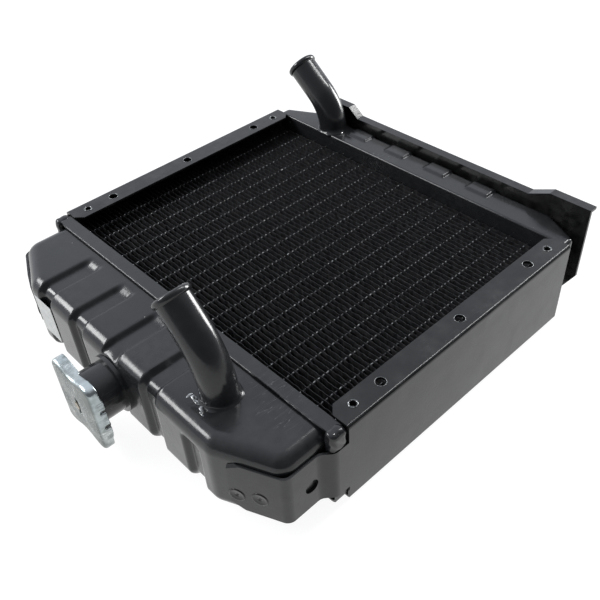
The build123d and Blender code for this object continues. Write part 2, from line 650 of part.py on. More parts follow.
NODES = {
    "side_channel_near": lambda: side_channel(-1),
    "side_channel_far": lambda: side_channel(1),
    "tube_row_front": lambda: tube_row("front"),
    "tube_row_rear": lambda: tube_row("rear"),
    "cooling_fins": cooling_fins,
    "top_header": lambda: header(-HEADER_GAP, -1, **TOP_HEADER),
    "bottom_header": lambda: header(CHANNEL_LENGTH + HEADER_GAP, 1, **BOTTOM_HEADER),
    "top_tank": top_tank,
    "bottom_tank": bottom_tank,
    "inlet_neck": lambda: hose_neck(INLET, INLET_XY, TOP_TANK_Z1),
    "outlet_neck": lambda: hose_neck(OUTLET, OUTLET_XY, BOTTOM_TANK_Z1),
    "base_bracket": base_bracket,
    "filler_neck": filler_neck,
    "neck_collar": lambda: NECK * disc(COLLAR_R, 0, COLLAR_HEIGHT, NECK_R),
    "overflow_nipple": overflow_nipple,
    "cap_shell": cap_shell,
    "cap_rivet": cap_rivet,
    "cap_spring_disc": cap_spring_disc,
    "cap_top_gasket": cap_top_gasket,
    "cap_bell": cap_bell,
    "pressure_plate": pressure_plate,
    "pressure_gasket": pressure_gasket,
    "pressure_spring": pressure_spring,
    "vacuum_valve": vacuum_valve,
    "vacuum_spring": vacuum_spring,
    "drain_boss": drain_boss,
    "drain_washer": drain_washer,
    "drain_plug": drain_plug,
    "blank_label": blank_label,
}

os.makedirs("parts", exist_ok=True)
for name, make in NODES.items():
    save(name, make())
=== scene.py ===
import math

import bmesh
import bpy
import numpy as np
from mathutils import Matrix, Vector


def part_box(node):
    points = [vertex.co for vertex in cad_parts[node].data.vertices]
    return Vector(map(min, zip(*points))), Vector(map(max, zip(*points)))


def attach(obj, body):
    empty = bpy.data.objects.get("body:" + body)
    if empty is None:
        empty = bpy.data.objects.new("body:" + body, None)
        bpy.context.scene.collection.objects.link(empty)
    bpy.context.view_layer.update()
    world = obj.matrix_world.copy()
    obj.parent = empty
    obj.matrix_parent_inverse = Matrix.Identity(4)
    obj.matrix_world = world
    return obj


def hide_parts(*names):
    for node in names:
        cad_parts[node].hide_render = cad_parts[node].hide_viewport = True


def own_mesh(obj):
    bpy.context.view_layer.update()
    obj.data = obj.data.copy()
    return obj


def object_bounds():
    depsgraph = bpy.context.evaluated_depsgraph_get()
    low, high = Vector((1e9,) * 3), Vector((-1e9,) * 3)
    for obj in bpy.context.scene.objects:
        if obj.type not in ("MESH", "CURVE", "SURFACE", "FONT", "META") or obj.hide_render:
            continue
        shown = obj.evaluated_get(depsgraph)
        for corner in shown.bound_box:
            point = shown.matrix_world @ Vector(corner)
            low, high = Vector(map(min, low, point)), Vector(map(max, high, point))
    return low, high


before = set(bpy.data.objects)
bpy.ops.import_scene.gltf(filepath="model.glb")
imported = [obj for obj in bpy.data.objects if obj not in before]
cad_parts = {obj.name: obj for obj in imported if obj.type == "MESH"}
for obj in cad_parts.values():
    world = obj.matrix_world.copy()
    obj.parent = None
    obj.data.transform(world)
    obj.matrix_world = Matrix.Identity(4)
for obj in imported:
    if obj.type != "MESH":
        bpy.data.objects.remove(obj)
cad_low, cad_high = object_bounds()

# The pieces are drawn in millimetres with x = 0 where the core meets the top header.
MM = 0.001
TANK_LENGTH = 60.0
CORE_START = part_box("top_tank")[0].x / MM + TANK_LENGTH

# Top tank
TANK_LOW = 3.6
TANK_HIGH = 63.4
TANK_MID = (TANK_LOW + TANK_HIGH) / 2
TANK_HALF_Y = 142.2
TANK_BEVEL = (-40.7, 99.6)
TANK_OPEN = -2.2
TANK_CORNER = 13.0
TANK_SHOULDER = 10.5
TANK_RIM_HALF_Y = 146.5
TANK_RIM_MID = 33.5
TANK_RIM_HALF_Z = 30.4
TANK_RIM_CORNER = 3.5
TANK_RIM_AT = -3.2
TANK_RIM_HALF_X = 1.0
TANK_RIM_FILL = 1.6
TANK_GRID = ((-60, -146.6, 3.0), (-2.0, 146.6, 64.0), 1.0)

# Soft channels pressed across the top tank: where they run, in pitches from the middle, and their shape
PRESSING_PITCH = 41.0
PRESSING_DEPTH = 3.6
PRESSING_HALF = 4.6
PRESSING_SLOPE = 4.4
FACE_PRESSINGS = (-1, 0, 1, 2)
END_PRESSINGS = (-1, 1, 2)
SHORT_END_PRESSING = (-2,)
REAR_PRESSINGS = (-2, -1, 0, 1, 2)
PRESSING_START = -13.0
PRESSING_RUN_IN = 12.0
END_START = -49.0
END_RUN_IN = 7.0
SHORT_PRESSING_TOP = 51.0
SHORT_RUN_OUT = 5.0

# Bottom tank
FOOT_START = 218.1
FOOT_END = 241.9
FOOT_LOW = 1.9
FOOT_HIGH = 65.0
FOOT_HALF_Y = 146.0
FOOT_BEVEL = (228.0, 119.0)
FOOT_CORNER = 4.0
FOOT_SHOULDER = 3.4
FOOT_GRID = ((218.1, -146.1, 0.3), (243.5, 146.1, 66.7), 1.0)
RIB_PITCH = 41.2
RIB_PLACES = (-1.5, -0.5, 0.5, 1.5)
RIB_HALF = 11.2
RIB_SLOPE = 2.6
RIB_HEIGHT = 1.55

# Hose necks: where each stands, then its root, rise, run, bend radius and tilt
OUTLET = (229.6, 90.0)
INLET = (-32.2, -78.5)
OUTLET_BEND = (63.5, 19.0, 48.0, 38.5, 51.5)
INLET_BEND = (61.9, 25.0, 48.0, 56.0, 45.0)
NECK_RADIUS = 11.6
NECK_BORE = 10.2
NECK_HOLE = 10.4
HOLE_FLOORS = {"top": 45.0, "bottom": 50.0}
TANK_SHEET = 1.5
BEAD_HEIGHT = 1.2
BEAD_HALF_WIDTH = 2.1
BEAD_FROM_MOUTH = 2.4

# Core
TUBE_COLUMNS = 19
TUBE_PITCH = 14.7
FIN_COUNT = 55
FIN_FIRST = 3.95
CORE_LENGTH = 217.5
FIN_MARGINS = 7.6
FIN_SHEET = 0.3
FIN_PITCH = (CORE_LENGTH - FIN_MARGINS - FIN_SHEET) / (FIN_COUNT - 1)
FIN_SHOWN_SHEET = 0.16
FIN_CRINKLE = 1.7
CORE_LOW = 12.6
CORE_HIGH = 54.4
CORE_HALF_Y = 147.7
TUBE_FRONT = 51.8
TUBE_REAR = 15.2
COLLAR_SIZE = 0.62
COLLAR_PROUD = 0.3

# Side channels and rail: rows of flange holes, the strap's press marks and the rail's upper edge
TAPPED_ROWS = (13.5, 204.0)
BOLT_ROWS = (36.3, 108.75, 181.2)
FLANGE_HOLE_Y = 140.0
STRAP_FACING = (-0.910, 0.414)
STRAP_DENTS_AT = [(-55.2, 114.96, 25.9), (-49.2, 128.2, 28.6)]
STRAP_DENT = [(0.05, -0.4), (5.6, -0.4), (5.0, 0.40), (4.5, 0.48), (3.7, 0.20), (2.2, 0.08), (0.05, 0.05)]
RAIL_TOP = [(-146.0, 79.6), (-114.0, 79.6), (-97.0, 72.1), (74.0, 72.1), (84.0, 79.6), (110.5, 79.6)]

# Filler neck and cap
NECK_AT = (-60.0, 0.0, 36.0)
NECK_PAD = 24.5
NECK_PAD_SLOPE = 3.5
FILLER_HOLE = 16.4
FILLER_HOLE_END = -45.0
CAP_TOP = 27.6
CAP_SKIRT = 8.4
CAP_HALF = (27.0, 22.5)
CAP_CORNER = 5.5
CAP_SHEET = 1.2
CAP_LOWEST = 19.0
CAP_CELL = 0.6
CAP_CROWN = 0.35
CAP_CROWN_REACH = 8.0
CAP_EDGE_OUT = 2.4
CAP_EDGE_IN = 1.3
SCALLOP_RADIUS = 15.0
SCALLOP_CENTRE = 38.6
SCALLOP_SOFT = 4.0
SKIRT_RISE = 1.2
SKIRT_RISE_FROM = 14
SKIRT_RISE_OVER = 6
LUG_HALF = 4.6
LUG_HEIGHT = 21.5
LUG_HALF_SHEET = 0.65
LUG_REACH = (18.9, 21.9)
SLOT_AT = 6.6
SLOT_HALF = 1.3
SLOT_INNER = 15.0
SLOT_TOP = 23.2
MARK_HALF = (7.5, 2.2)
MARK_AT = -0.6
MARK_CORNER = 2.0
MARK_DEPTH = 0.55
MARK_SLOPE = 1.4
RIVET_HOLE = 2.05
FACE_X = (CORE_START + NECK_AT[0] - CAP_TOP) * MM


# ---------------------------------------------------------------- meshes

def in_scene(name, data):
    """A new object with this data, linked to the scene."""
    made = bpy.data.objects.new(name, data)
    bpy.context.scene.collection.objects.link(made)
    return made


def make_piece(name, points, faces, finish, body="radiator"):
    """A mesh object in the shared frame from points in millimetres, with the given finish."""
    points = np.asarray(points, float) * MM
    points[:, 0] += CORE_START * MM
    mesh = bpy.data.meshes.new(name)
    faces = faces.tolist() if isinstance(faces, np.ndarray) else faces
    mesh.from_pydata(points.tolist(), [], faces)
    mesh.validate()
    mesh.update()
    mesh.polygons.foreach_set("use_smooth", [True] * len(mesh.polygons))
    mesh.materials.append(finish)
    piece = in_scene(name, mesh)
    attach(piece, body)
    return piece


def skin(distance, low, high, step):
    """Closed surface where the distance rule is zero, one vertex in each cell that it crosses."""
    axes = [np.arange(a - 2 * step, b + 3 * step, step) for a, b in zip(low, high)]
    grid = np.stack(np.meshgrid(*axes, indexing="ij"), -1)
    value = distance(grid)
    solid = value < 0
    size = [n - 1 for n in solid.shape]
    corner = [(i, j, k) for i in (0, 1) for j in (0, 1) for k in (0, 1)]

    def at(array, c):
        return array[c[0]:c[0] + size[0], c[1]:c[1] + size[1], c[2]:c[2] + size[2]]

    count = sum(at(solid, c).astype(int) for c in corner)
    mixed = (count > 0) & (count < 8)
    total = np.zeros((mixed.sum(), 3))
    hits = np.zeros(mixed.sum())
    for a in corner:
        for b in corner:
            if b > a and sum(abs(p - q) for p, q in zip(a, b)) == 1:
                va, vb = at(value, a)[mixed], at(value, b)[mixed]
                pa, pb = at(grid, a)[mixed], at(grid, b)[mixed]
                crossed = (va < 0) != (vb < 0)
                share = np.where(crossed, va / np.where(crossed, va - vb, 1), 0)
                total += np.where(crossed[:, None], pa + share[:, None] * (pb - pa), 0)
                hits += crossed
    points = total / hits[:, None]
    reach = 0.05
    for _ in range(3):
        slope = np.stack(
            [(distance(points + e) - distance(points - e)) / (2 * reach) for e in np.eye(3) * reach], -1
        )
        move = distance(points)[:, None] * slope / np.maximum((slope * slope).sum(-1), 0.2)[:, None]
        points -= np.clip(move, -step / 2, step / 2)
    number = -np.ones(mixed.shape, int)
    number[mixed] = np.arange(mixed.sum())
    quads = []
    for axis in range(3):
        order = (axis, (axis + 1) % 3, (axis + 2) % 3)
        s, c = np.transpose(solid, order), np.transpose(number, order)
        here, there = s[:-1, 1:-1, 1:-1], s[1:, 1:-1, 1:-1]
        i, j, k = np.nonzero(here != there)
        quad = np.stack([c[i, j, k], c[i, j + 1, k], c[i, j + 1, k + 1], c[i, j, k + 1]], 1)
        inward = ~here[i, j, k]
        quad[inward] = quad[inward][:, ::-1]
        quads.append(quad)
    return points, np.concatenate(quads)


def outline_distance(x, y, corners, radius):
    """Distance to a convex outline with rounded corners, negative inside."""
    corners = np.asarray(corners, float)
    after = np.roll(corners, -1, 0)
    area = (corners[:, 0] * after[:, 1] - after[:, 0] * corners[:, 1]).sum()
    turn = 1 if area > 0 else -1
    edge = after - corners
    length = np.hypot(edge[:, 0], edge[:, 1])
    normal = turn * np.stack([edge[:, 1], -edge[:, 0]], 1) / length[:, None]
    offset = (corners * normal).sum(1) - radius
    inner = []
    for i in range(len(corners)):
        pair = np.array([normal[i - 1], normal[i]])
        inner.append(np.linalg.solve(pair, [offset[i - 1], offset[i]]))
    inner = np.array(inner)
    nearest = np.full(x.shape, 1e9)
    inside = np.full(x.shape, -1e9)
    for i in range(len(inner)):
        a, b = inner[i], inner[(i + 1) % len(inner)]
        run = b - a
        share = np.clip(((x - a[0]) * run[0] + (y - a[1]) * run[1]) / (run @ run), 0, 1)
        nearest = np.minimum(nearest, np.hypot(x - a[0] - share * run[0], y - a[1] - share * run[1]))
        inside = np.maximum(inside, x * normal[i, 0] + y * normal[i, 1] - offset[i])
    return np.where(inside < 0, inside, nearest) - radius


def rounded_meet(a, b, radius):
    """Two distances cut by each other, with the edge between them rounded."""
    p, q = np.maximum(a + radius, 0), np.maximum(b + radius, 0)
    return np.hypot(p, q) + np.minimum(np.maximum(a + radius, b + radius), 0) - radius


def soft_step(x):
    """0 below 0, 1 above 1 and a smooth turn between."""
    x = np.clip(x, 0, 1)
    return x * x * (3 - 2 * x)


def soft_lower(a, b, k):
    """The smaller of two distances with the seam between them filled by k."""
    h = np.clip(0.5 + 0.5 * (b - a) / k, 0, 1)
    return b + (a - b) * h - k * h * (1 - h)


# ---------------------------------------------------------------- top tank

def pressing(y, places):
    """Share of the full depth that channels at these places have pressed in, 0 to 1."""
    depth = np.zeros(y.shape)
    for place in places:
        off = np.abs(y - place * PRESSING_PITCH)
        depth = np.maximum(depth, soft_step((PRESSING_HALF + PRESSING_SLOPE - off) / PRESSING_SLOPE))
    return depth


def top_tank_distance(p):
    """The drawn tank: rounded shoulders and channels that run over them."""
    x, y, z = p[..., 0], p[..., 1], p[..., 2]
    half = [(20, TANK_HALF_Y), (TANK_BEVEL[0], TANK_HALF_Y), (-TANK_LENGTH, TANK_BEVEL[1])]
    plan = outline_distance(x, y, half + [(a, -b) for a, b in reversed(half)], TANK_CORNER)
    tall = np.abs(z - TANK_MID) - (TANK_HIGH - TANK_LOW) / 2
    shape = rounded_meet(plan, tall, TANK_SHOULDER)
    away_from_rim = soft_step((PRESSING_START - x) / PRESSING_RUN_IN)
    on_end = soft_step((END_START - x) / END_RUN_IN)
    from_neck_axis = np.hypot(y - NECK_AT[1], z - NECK_AT[2])
    pad = soft_step((NECK_PAD - from_neck_axis) / NECK_PAD_SLOPE) * on_end
    depth = np.maximum.reduce([
        pressing(y, FACE_PRESSINGS) * away_from_rim * (z > TANK_MID),
        pressing(y, REAR_PRESSINGS) * away_from_rim * (z <= TANK_MID),
        pressing(y, END_PRESSINGS) * on_end,
        pressing(y, SHORT_END_PRESSING) * on_end * soft_step((SHORT_PRESSING_TOP - z) / SHORT_RUN_OUT),
    ])
    shape = shape + PRESSING_DEPTH * depth * (1 - pad)
    rim_height = np.abs(z - TANK_RIM_MID) - TANK_RIM_HALF_Z
    rim = rounded_meet(np.abs(y) - TANK_RIM_HALF_Y, rim_height, TANK_RIM_CORNER)
    rim = np.maximum(rim, np.abs(x - TANK_RIM_AT) - TANK_RIM_HALF_X)
    shape = soft_lower(np.maximum(shape, x - TANK_OPEN), rim, TANK_RIM_FILL)
    inlet_hole = np.hypot(x - INLET[0], y - INLET[1]) - NECK_HOLE
    inlet_hole = np.maximum(inlet_hole, HOLE_FLOORS["top"] - z)
    filler_hole = np.maximum(from_neck_axis - FILLER_HOLE, x - FILLER_HOLE_END)
    return np.maximum(shape, -np.minimum(inlet_hole, filler_hole))


def make_top_tank(finish):
    """The drawn end tank with its soft channels."""
    points, faces = skin(top_tank_distance, *TANK_GRID)
    piece = make_piece("top_tank_pressing", points, faces, finish)
    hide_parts("top_tank")
    return piece


# ---------------------------------------------------------------- bottom tank

def bottom_tank_distance(p):
    """The shallow tank with four raised ribs over its edges."""
    x, y, z = p[..., 0], p[..., 1], p[..., 2]
    half = [(200, FOOT_HALF_Y), (FOOT_BEVEL[0], FOOT_HALF_Y), (FOOT_END, FOOT_BEVEL[1])]
    plan = outline_distance(x, y, half + [(a, -b) for a, b in reversed(half)], FOOT_CORNER)
    tall = np.abs(z - (FOOT_LOW + FOOT_HIGH) / 2) - (FOOT_HIGH - FOOT_LOW) / 2
    shape = rounded_meet(plan, tall, FOOT_SHOULDER)
    raised = np.zeros(y.shape)
    for place in RIB_PLACES:
        off = np.abs(y - place * RIB_PITCH)
        raised = np.maximum(raised, soft_step((RIB_HALF - off) / RIB_SLOPE))
    raised = raised * soft_step((x - FOOT_BEVEL[0]) / RIB_SLOPE)
    shape = np.maximum(shape - RIB_HEIGHT * raised, FOOT_START - x)
    outlet_hole = np.hypot(x - OUTLET[0], y - OUTLET[1]) - NECK_HOLE
    return np.maximum(shape, -np.maximum(outlet_hole, HOLE_FLOORS["bottom"] - z))


def make_bottom_tank(finish):
    """The shallow ribbed tank at the far end of the core."""
    points, faces = skin(bottom_tank_distance, *FOOT_GRID)
    piece = make_piece("bottom_tank_pressing", points, faces, finish)
    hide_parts("bottom_tank")
    return piece


# ---------------------------------------------------------------- cap

def cap_distance(p):
    """Pressed cap shell in its own frame: first axis up, second across, third outwards."""
    a, b, u = p[..., 0], p[..., 1], p[..., 2]
    corners = [(i * CAP_HALF[0], j * CAP_HALF[1]) for i, j in ((1, 1), (-1, 1), (-1, -1), (1, -1))]
    plan = outline_distance(a, b, corners, CAP_CORNER)
    for way in (-1, 1):
        scallop = SCALLOP_RADIUS - np.hypot(a - way * SCALLOP_CENTRE, b)
        plan = -soft_lower(-plan, -scallop, SCALLOP_SOFT)
    crown = CAP_CROWN * soft_step(-plan / CAP_CROWN_REACH) - CAP_CROWN
    outside = rounded_meet(plan, u - CAP_TOP - crown, CAP_EDGE_OUT)
    inside = rounded_meet(plan + CAP_SHEET, u - CAP_TOP + CAP_SHEET - crown, CAP_EDGE_IN)
    shell = np.maximum(outside, -inside)
    rise = SKIRT_RISE * soft_step((np.abs(a) - SKIRT_RISE_FROM) / SKIRT_RISE_OVER) * (b < 0)
    shell = np.maximum(shell, CAP_TOP - CAP_SKIRT + rise - u)
    slot = np.maximum(np.abs(np.abs(a) - SLOT_AT) - SLOT_HALF, SLOT_INNER - np.abs(b))
    shell = np.maximum(shell, -np.maximum(slot, u - SLOT_TOP))
    lug = np.maximum(np.abs(a) - LUG_HALF, np.abs(u - LUG_HEIGHT) - LUG_HALF_SHEET)
    lug = np.maximum(lug, np.maximum(LUG_REACH[0] - np.abs(b), np.abs(b) - LUG_REACH[1]))
    shell = np.minimum(shell, lug)
    mark = rounded_meet(np.abs(a) - MARK_HALF[0], np.abs(b - MARK_AT) - MARK_HALF[1], MARK_CORNER)
    shell = shell + MARK_DEPTH * soft_step(-mark / MARK_SLOPE + 0.2) * (u > CAP_TOP - 0.9)
    return np.maximum(shell, RIVET_HOLE - np.hypot(a, b))


def from_neck(points):
    """Neck frame to the part's frame: up, across, outwards become z, y and minus x."""
    a, b, u = points[:, 0], points[:, 1], points[:, 2]
    return np.stack([NECK_AT[0] - u, NECK_AT[1] + b, NECK_AT[2] + a], 1)


def make_cap(finish):
    """The twist-off cap's pressed shell."""
    low, high = (-CAP_HALF[0], -CAP_HALF[1], CAP_LOWEST), (*CAP_HALF, CAP_TOP)
    points, faces = skin(cap_distance, low, high, CAP_CELL)
    piece = make_piece("cap_pressing", from_neck(points), faces, finish, "cap_turning")
    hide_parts("cap_shell")
    return piece


def make_spring(name, node, body, finish):
    """A spring's own coil, with doubled points merged, carried with the body it is attached to."""
    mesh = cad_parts[node].data.copy()
    coil = bmesh.new()
    coil.from_mesh(mesh)
    bmesh.ops.remove_doubles(coil, verts=coil.verts, dist=1e-6)
    coil.to_mesh(mesh)
    coil.free()
    mesh.materials.clear()
    mesh.materials.append(finish)
    mesh.polygons.foreach_set("use_smooth", [True] * len(mesh.polygons))
    piece = in_scene(name, mesh)
    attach(piece, body)
    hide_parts(node)
    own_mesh(piece)
    return piece


# ---------------------------------------------------------------- hose necks

def neck_line(place, bend, steps):
    """Centres and directions along a neck at distances from its root."""
    root, rise, run, radius, tilt = bend
    turn = math.radians(tilt)
    tangent = radius * math.tan(turn / 2)
    first, arc = rise - tangent, radius * turn
    line = []
    for s in steps:
        a = min(max(s - first, 0.0), arc) / radius
        up = min(s, first) + radius * math.sin(a)
        over = radius * (1 - math.cos(a))
        rest = max(s - first - arc, 0.0)
        line.append((
            (place[0], place[1] + over + rest * math.sin(turn), root + up + rest * math.cos(turn)),
            (0.0, math.sin(a), math.cos(a)),
        ))
    return line, first + arc + run - tangent


def ring_points(centre, along, radii, sides):
    """One ring of points round a centre, with a radius for each side."""
    across = np.array([1.0, 0.0, 0.0])
    third = np.cross(along, across)
    angle = np.linspace(0, 2 * math.pi, sides, endpoint=False)
    out = np.cos(angle)[:, None] * across + np.sin(angle)[:, None] * third
    return np.asarray(centre) + out * np.broadcast_to(radii, angle.shape)[:, None]


def loop_faces(rows, sides):
    """Quads between neighbouring rings and from the last ring back to the first."""
    faces = []
    for i in range(rows):
        for j in range(sides):
            a, b = i * sides, (i + 1) % rows * sides
            k = (j + 1) % sides
            faces.append((a + j, a + k, b + k, b + j))
    return faces


def make_hose_neck(name, node, place, bend, finish):
    """Bent tube with a rolled bead at its mouth and a soldered fillet where it enters the tank."""
    sides = 72
    total = neck_line(place, bend, [0.0])[1]
    angle = np.linspace(0, 2 * math.pi, sides, endpoint=False)
    uneven = 2.1 + 0.5 * np.sin(3 * angle + place[1]) + 0.35 * np.sin(7 * angle + 1.0)
    # Rings stand close together at the root and at the bead, and wide apart between them
    steps = np.concatenate([
        np.arange(0, 7, 0.45), np.arange(7, total - 5, 2.0), np.arange(total - 5, total - 0.1, 0.22), [total]
    ])
    rings = []
    for s, (centre, along) in zip(steps, neck_line(place, bend, steps)[0]):
        radii = NECK_RADIUS + uneven * math.exp(-max(s - TANK_SHEET, 0.0))
        from_bead = abs(total - BEAD_FROM_MOUTH - s) / BEAD_HALF_WIDTH
        bead = NECK_RADIUS - 0.01 + BEAD_HEIGHT * math.sqrt(max(1 - from_bead ** 2, 0.0))
        at_mouth = total - s < 0.05
        radii = NECK_RADIUS - 0.25 if at_mouth else np.maximum(radii, bead)
        rings.append(ring_points(centre, along, radii, sides))
    # Back down the bore, which flares a little at the mouth
    inward = np.concatenate([[total, total - 0.35, total - 1.0], np.arange(total - 3, 0, -3.0), [0.0]])
    for s, (centre, along) in zip(inward, neck_line(place, bend, inward)[0]):
        flare = 0.55 * max(1 - (total - s) / 0.9, 0.0)
        rings.append(ring_points(centre, along, NECK_BORE + flare, sides))
    piece = make_piece(name, np.concatenate(rings), loop_faces(len(rings), sides), finish)
    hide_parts(node)
    return piece


def lump(centre, size, seed):
    """Points and faces of one squashed blob of solder with an uneven outline."""
    rng = np.random.default_rng(seed)
    rows, sides = 7, 14
    swell = 1 + 0.22 * rng.standard_normal(sides)
    points = [(0.0, 0.0, 1.0)]
    for i in range(1, rows):
        lean = math.pi * i / rows
        for j in range(sides):
            turn = 2 * math.pi * j / sides
            r = math.sin(lean) * (0.5 * (swell[j] + swell[j - 1]))
            points.append((r * math.cos(turn), r * math.sin(turn), math.cos(lean)))
    points.append((0.0, 0.0, -1.0))
    faces = []
    for j in range(sides):
        k = (j + 1) % sides
        faces.append((0, 1 + j, 1 + k))
        for i in range(rows - 2):
            a, b = 1 + i * sides, 1 + (i + 1) * sides
            faces.append((a + j, b + j, b + k, a + k))
        last = 1 + (rows - 2) * sides
        faces.append((last + j, len(points) - 1, last + k))
    return np.array(points) * size + centre, faces


def make_solder(name, places, finish):
    """A few blobs of solder left beside a joint."""
    points, faces, count = [], [], 0
    for seed, (centre, size) in enumerate(places):
        some, sides = lump(np.array(centre), np.array(size), seed)
        points.append(some)
        faces += [tuple(v + count for v in face) for face in sides]
        count += len(some)
    return make_piece(name, np.concatenate(points), faces, finish)


def make_seam(name, path, radius, finish):
    """A rounded bead along a sheet's edge, slightly wavy, with closed ends."""
    path = np.array(path, float)
    reach = np.concatenate([[0], np.cumsum(np.linalg.norm(np.diff(path, axis=0), axis=1))])
    sides, rows = 12, 160
    points = []
    for i in range(rows):
        share = i / (rows - 1)
        centre = np.array([np.interp(share * reach[-1], reach, path[:, k]) for k in range(3)])
        width = radius * min(1.0, 30 * share + 0.3, 30 * (1 - share) + 0.3)
        width *= 1 + 0.05 * math.sin(i * 1.7) + 0.04 * math.sin(i * 0.61)
        for j in range(sides):
            turn = 2 * math.pi * j / sides
            points.append(centre + width * np.array([math.cos(turn), 0, math.sin(turn)]))
    faces = []
    for i in range(rows - 1):
        for j in range(sides):
            a, b, k = i * sides, (i + 1) * sides, (j + 1) % sides
            faces.append((a + j, b + j, b + k, a + k))
    faces.append(tuple(range(sides)))
    faces.append(tuple(range((rows - 1) * sides, rows * sides))[::-1])
    return make_piece(name, np.array(points), faces, finish)


def turned(profile, centre, axis, sides):
    """Points and faces of a closed profile of (radius, height) turned about an axis."""
    axis = np.array(axis, float) / np.linalg.norm(axis)
    across = np.cross(axis, (0.0, 0.0, 1.0)) if abs(axis[2]) < 0.9 else np.array([1.0, 0.0, 0.0])
    across /= np.linalg.norm(across)
    third = np.cross(axis, across)
    points = []
    for r, h in profile:
        for j in range(sides):
            turn = 2 * math.pi * j / sides
            out = math.cos(turn) * across + math.sin(turn) * third
            points.append(np.array(centre) + h * axis + r * out)
    return points, loop_faces(len(profile), sides)


def make_turned(name, profile, places, finish, sides=28):
    """The same turned shape at several places, each a centre and an axis."""
    points, faces = [], []
    for centre, axis in places:
        some, quads = turned(profile, centre, axis, sides)
        faces += [tuple(v + len(points) for v in quad) for quad in quads]
        points += some
    return make_piece(name, np.array(points), faces, finish)


def ring_profile(radius, width):
    """Section of a round wire ring, listed so that its faces point outwards."""
    angle = [2 * math.pi * k / 10 for k in range(10)]
    return [(radius + width * math.cos(a), width * math.sin(a)) for a in angle]


def make_corner_fill(name, low, high, finish, radius=1.0):
    """Lumpy strip of sealant or solder that closes a gap between two sheets."""
    middle = (np.array(low) + np.array(high)) / 2
    half = (np.array(high) - np.array(low)) / 2

    def distance(p):
        """Rounded block with an uneven face."""
        q = np.abs(p - middle) - half + radius
        block = np.linalg.norm(np.maximum(q, 0), axis=-1) + np.minimum(q.max(-1), 0) - radius
        return block + 0.15 * (1 + np.sin(p[..., 2] * 0.9 + p[..., 0]))

    points, faces = skin(distance, low, high, 0.8)
    return make_piece(name, points, faces, finish)


# ---------------------------------------------------------------- nodes

def wired(tree, kind, settings, inputs):
    """A new node's outputs; its inputs are values or outputs, by name or, after an i, by number."""
    made = tree.nodes.new(kind)
    for key, value in (settings or {}).items():
        setattr(made, key, value)
    for key, value in inputs.items():
        by_number = key[0] == "i" and key[1:].isdigit()
        socket = made.inputs[int(key[1:])] if by_number else made.inputs[key.replace("_", " ")]
        if isinstance(value, bpy.types.NodeSocket):
            tree.links.new(value, socket)
        else:
            socket.default_value = value
    return made.outputs


def new_material(name, **inputs):
    """A material and its shader, with these values on the shader's inputs."""
    material = bpy.data.materials.new(name)
    material.use_nodes = True
    shader = material.node_tree.nodes["Principled BSDF"]
    for key, value in inputs.items():
        shader.inputs[key.replace("_", " ")].default_value = value
    return material, shader


# ---------------------------------------------------------------- core

def node_tree(name, sizes):
    """A Geometry Nodes tree with a geometry output and named number inputs."""
    tree = bpy.data.node_groups.new(name, "GeometryNodeTree")
    tree.interface.new_socket("Geometry", in_out="INPUT", socket_type="NodeSocketGeometry")
    for size in sizes:
        tree.interface.new_socket(size, in_out="INPUT", socket_type="NodeSocketFloat")
    tree.interface.new_socket("Geometry", in_out="OUTPUT", socket_type="NodeSocketGeometry")
    return tree


class Weave:
    """Short calls for adding and joining the nodes of one tree."""

    def __init__(self, tree):
        self.tree = tree
        self.inputs = tree.nodes.new("NodeGroupInput").outputs

    def add(self, kind, settings=None, **inputs):
        """A new node's outputs."""
        return wired(self.tree, kind, settings, inputs)

    def maths(self, how, a, b=0.0):
        """One sum on two values."""
        return self.add("ShaderNodeMath", {"operation": how}, i0=a, i1=b)[0]

    def vector(self, x=0.0, y=0.0, z=0.0):
        """Three values as one vector."""
        return self.add("ShaderNodeCombineXYZ", X=x, Y=y, Z=z)[0]

    def finish(self, geometry, material):
        """Real mesh from the instances, with its finish, as the tree's result."""
        real = self.add("GeometryNodeRealizeInstances", Geometry=geometry)[0]
        dressed = self.add("GeometryNodeSetMaterial", Geometry=real, Material=material)[0]
        out = self.tree.nodes.new("NodeGroupOutput")
        self.tree.links.new(dressed, out.inputs[0])


def grown(name, tree, sizes, finish, smooth):
    """Run a tree with its sizes and keep the result as a plain piece."""
    start = in_scene(name + "_start", bpy.data.meshes.new(name + "_start"))
    modifier = start.modifiers.new("grow", "NODES")
    modifier.node_group = tree
    for item in tree.interface.items_tree:
        if item.in_out == "INPUT" and item.name in sizes:
            modifier[item.identifier] = float(sizes[item.name])
    done = start.evaluated_get(bpy.context.evaluated_depsgraph_get())
    mesh = bpy.data.meshes.new_from_object(done)
    mesh.name = name
    start.modifiers.remove(modifier)
    bpy.data.objects.remove(start)
    mesh.materials.clear()
    mesh.materials.append(finish)
    mesh.polygons.foreach_set("use_smooth", [smooth] * len(mesh.polygons))
    mesh.update()
    piece = in_scene(name, mesh)
    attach(piece, "radiator")
    return piece


